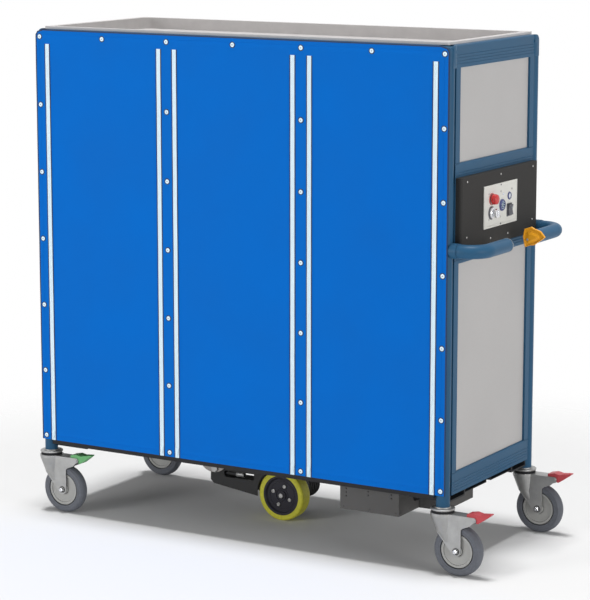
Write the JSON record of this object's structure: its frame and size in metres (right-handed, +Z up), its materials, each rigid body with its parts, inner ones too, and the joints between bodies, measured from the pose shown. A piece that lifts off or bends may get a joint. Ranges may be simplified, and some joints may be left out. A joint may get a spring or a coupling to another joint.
{
  "type": "meal tray cart",
  "caption": "Enclosed meal tray cart with a coated-fabric zip front, inset top tray, braked swivel castors, a sprung driven wheel underneath and a control end with handles.",
  "frame": {"origin": "centre of the bounding box at floor level, under the middle of the cart", "axes": "+X along the cart towards the control end, +Y towards the back panels, +Z up"},
  "size_m": [1.67, 0.6546, 1.61],
  "materials": {
    "frame_paint": "satin powder coat, grey blue",
    "panel_grey": "fine-textured light grey sheet",
    "inner_sheet": "plain mill-finish sheet",
    "underframe": "dark grey powder coat",
    "tray_grey": "moulded light grey tray",
    "cover_blue": "coated fabric, bright blue",
    "zip_white": "woven white zip tape",
    "zip_metal": "white moulded zip slider",
    "stud_white": "white snap cap",
    "castor_zinc": "light grey painted pressing",
    "castor_seal": "black dust seal",
    "castor_tyre": "grey elastic rubber",
    "castor_hub": "grey moulded hub",
    "pedal_red": "red moulded pedal",
    "pedal_green": "green moulded pedal",
    "drive_dark": "charcoal powder coat",
    "drive_bracket": "grey zinc-look paint",
    "drive_hub": "dark machined casting",
    "drive_tread": "yellow polyurethane",
    "spring_steel": "bare wound wire",
    "box_grey": "grey folded sheet",
    "control_charcoal": "charcoal textured cover",
    "plate_white": "white plate with a bright rim",
    "estop_red": "red mushroom head",
    "key_silver": "bright turned knob",
    "switch_grey": "dark grey rocker",
    "socket_blue": "dark blue socket ring",
    "lamp_clear": "clear lamp lens",
    "screw_steel": "bare button-head screws",
    "lever_orange": "orange moulded lever"
  },
  "bodies": {
    "cart": {"corner_posts": "frame_paint", "top_rails": "frame_paint", "bottom_rails": "frame_paint", "end_frame_right": "frame_paint", "end_frame_left": "frame_paint", "end_panels_right": "panel_grey", "end_panels_left": "panel_grey", "mullions": "frame_paint", "back_panels": "panel_grey", "base_plate": "inner_sheet", "cross_members": "underframe", "dividers": "inner_sheet", "tray_runners": "inner_sheet", "top_tray": "tray_grey", "front_cover": "cover_blue", "zip_tapes": "zip_white", "cover_studs": "stud_white", "castor_heads": "castor_zinc", "swivel_seals": "castor_seal", "drive_bracket": "drive_bracket", "drive_spring": "spring_steel", "battery_box": "box_grey", "controller_box": "box_grey", "control_cover": "control_charcoal", "switch_plate": "plate_white", "charge_socket": "socket_blue", "status_lamps": "lamp_clear", "panel_screws": "screw_steel", "handles": "frame_paint"},
    "swivel_front_right": {"castor_fork_front_right": "castor_zinc"},
    "wheel_front_right": {"castor_tyre_front_right": "castor_tyre", "castor_hub_front_right": "castor_hub"},
    "pedal_front_right": {"castor_pedal_front_right": "pedal_red"},
    "swivel_front_left": {"castor_fork_front_left": "castor_zinc"},
    "wheel_front_left": {"castor_tyre_front_left": "castor_tyre", "castor_hub_front_left": "castor_hub"},
    "pedal_front_left": {"castor_pedal_front_left": "pedal_green"},
    "swivel_rear_right": {"castor_fork_rear_right": "castor_zinc"},
    "wheel_rear_right": {"castor_tyre_rear_right": "castor_tyre", "castor_hub_rear_right": "castor_hub"},
    "pedal_rear_right": {"castor_pedal_rear_right": "pedal_red"},
    "swivel_rear_left": {"castor_fork_rear_left": "castor_zinc"},
    "wheel_rear_left": {"castor_tyre_rear_left": "castor_tyre", "castor_hub_rear_left": "castor_hub"},
    "pedal_rear_left": {"castor_pedal_rear_left": "pedal_red"},
    "door_left": {"door_left": "cover_blue"},
    "sliders_left": {"zip_sliders_left": "zip_metal"},
    "door_middle": {"door_middle": "cover_blue"},
    "sliders_middle": {"zip_sliders_middle": "zip_metal"},
    "door_right": {"door_right": "cover_blue"},
    "sliders_right": {"zip_sliders_right": "zip_metal"},
    "drive_swing": {"drive_arm": "drive_dark", "drive_motor": "drive_dark"},
    "drive_wheel": {"drive_hub": "drive_hub", "drive_tyre": "drive_tread"},
    "estop": {"estop_button": "estop_red"},
    "key": {"key_switch": "key_silver"},
    "mode": {"mode_switch": "switch_grey"},
    "lever": {"throttle_lever": "lever_orange"}
  },
  "joints": [
    {"name": "swivel_turn_front_right", "type": "hinge", "parent": "cart", "child": "swivel_front_right", "pos_m": [0.66705, -0.2888, 0.192], "axis": [0, 0, 1], "continuous": true},
    {"name": "wheel_spin_front_right", "type": "hinge", "parent": "swivel_front_right", "child": "wheel_front_right", "pos_m": [0.72305, -0.2888, 0.08], "axis": [0, 1, 0], "continuous": true},
    {"name": "pedal_press_front_right", "type": "hinge", "parent": "swivel_front_right", "child": "pedal_front_right", "pos_m": [0.78105, -0.2888, 0.184], "axis": [0, 1, 0], "range_deg": [0, 12]},
    {"name": "swivel_turn_front_left", "type": "hinge", "parent": "cart", "child": "swivel_front_left", "pos_m": [-0.79655, -0.2888, 0.192], "axis": [0, 0, 1], "continuous": true},
    {"name": "wheel_spin_front_left", "type": "hinge", "parent": "swivel_front_left", "child": "wheel_front_left", "pos_m": [-0.74055, -0.2888, 0.08], "axis": [0, 1, 0], "continuous": true},
    {"name": "pedal_press_front_left", "type": "hinge", "parent": "swivel_front_left", "child": "pedal_front_left", "pos_m": [-0.68255, -0.2888, 0.184], "axis": [0, 1, 0], "range_deg": [0, 12]},
    {"name": "swivel_turn_rear_right", "type": "hinge", "parent": "cart", "child": "swivel_rear_right", "pos_m": [0.66705, 0.2888, 0.192], "axis": [0, 0, 1], "continuous": true},
    {"name": "wheel_spin_rear_right", "type": "hinge", "parent": "swivel_rear_right", "child": "wheel_rear_right", "pos_m": [0.72305, 0.2888, 0.08], "axis": [0, 1, 0], "continuous": true},
    {"name": "pedal_press_rear_right", "type": "hinge", "parent": "swivel_rear_right", "child": "pedal_rear_right", "pos_m": [0.78105, 0.2888, 0.184], "axis": [0, 1, 0], "range_deg": [0, 12]},
    {"name": "swivel_turn_rear_left", "type": "hinge", "parent": "cart", "child": "swivel_rear_left", "pos_m": [-0.79655, 0.2888, 0.192], "axis": [0, 0, 1], "continuous": true},
    {"name": "wheel_spin_rear_left", "type": "hinge", "parent": "swivel_rear_left", "child": "wheel_rear_left", "pos_m": [-0.74055, 0.2888, 0.08], "axis": [0, 1, 0], "continuous": true},
    {"name": "pedal_press_rear_left", "type": "hinge", "parent": "swivel_rear_left", "child": "pedal_rear_left", "pos_m": [-0.68255, 0.2888, 0.184], "axis": [0, 1, 0], "range_deg": [0, 12]},
    {"name": "door_lift_left", "type": "hinge", "parent": "cart", "child": "door_left", "pos_m": [-0.55405, -0.3116, 1.5545], "axis": [-1, 0, 0], "range_deg": [0, 100]},
    {"name": "zip_run_left", "type": "slide", "parent": "cart", "child": "sliders_left", "axis": [0, 0, 1], "range_m": [0, 1.27]},
    {"name": "door_lift_middle", "type": "hinge", "parent": "cart", "child": "door_middle", "pos_m": [-0.06475, -0.3116, 1.5545], "axis": [-1, 0, 0], "range_deg": [0, 100]},
    {"name": "zip_run_middle", "type": "slide", "parent": "cart", "child": "sliders_middle", "axis": [0, 0, 1], "range_m": [0, 1.27]},
    {"name": "door_lift_right", "type": "hinge", "parent": "cart", "child": "door_right", "pos_m": [0.42455, -0.3116, 1.5545], "axis": [-1, 0, 0], "range_deg": [0, 100]},
    {"name": "zip_run_right", "type": "slide", "parent": "cart", "child": "sliders_right", "axis": [0, 0, 1], "range_m": [0, 1.27]},
    {"name": "drive_arm_lift", "type": "hinge", "parent": "cart", "child": "drive_swing", "pos_m": [-0.31275, 0, 0.1477], "axis": [0, -1, 0], "range_deg": [0, 8], "stiffness_Nm_per_rad": 30, "springref_deg": -17.19, "deforming": ["drive_spring"]},
    {"name": "drive_wheel_spin", "type": "hinge", "parent": "drive_swing", "child": "drive_wheel", "pos_m": [-0.06475, 0, 0.084], "axis": [0, 1, 0], "continuous": true},
    {"name": "estop_push", "type": "slide", "parent": "cart", "child": "estop", "axis": [-1, 0, 0], "range_m": [0, 0.005]},
    {"name": "key_turn", "type": "hinge", "parent": "cart", "child": "key", "pos_m": [0.70725, -0.066, 1.082], "axis": [1, 0, 0], "range_deg": [0, 90]},
    {"name": "mode_rock", "type": "hinge", "parent": "cart", "child": "mode", "pos_m": [0.70695, 0.057, 1.078], "axis": [0, 1, 0], "range_deg": [-7, 7]},
    {"name": "throttle_twist", "type": "hinge", "parent": "cart", "child": "lever", "pos_m": [0.78025, 0.074, 0.994], "axis": [0, 1, 0], "range_deg": [-30, 30], "stiffness_Nm_per_rad": 0.8}
  ]
}
